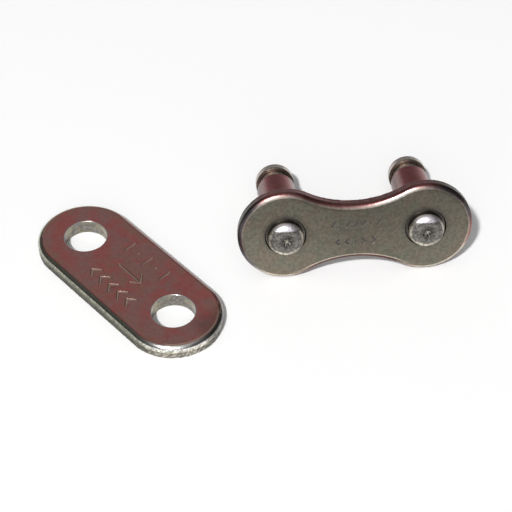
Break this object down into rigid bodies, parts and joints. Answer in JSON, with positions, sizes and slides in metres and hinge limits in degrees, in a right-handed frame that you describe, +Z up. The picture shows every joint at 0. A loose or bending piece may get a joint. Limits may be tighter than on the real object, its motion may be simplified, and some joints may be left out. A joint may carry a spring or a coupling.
{
  "type": "chain connecting link",
  "caption": "Opened connecting link of a roller chain: a waisted plate with riveted, clip-grooved pins, beside its loose cover plate.",
  "frame": {"origin": "middle of the underside of the box round both loose pieces, on the surface they lie on", "axes": "+X along the pin link's plate, +Y the way its pins point as seen from above, +Z up from the surface"},
  "size_m": [0.0394, 0.0212, 0.0085],
  "materials": {
    "link_plate": "satin olive-grey steel with a polished rounded edge",
    "pin": "turned and ground steel, dark",
    "cover_plate": "bright rolled steel, reddish where it mirrors"
  },
  "bodies": {
    "root": {"link_plate": "link_plate", "pin_left": "pin", "pin_right": "pin", "cover_plate": "cover_plate"}
  },
  "joints": []
}
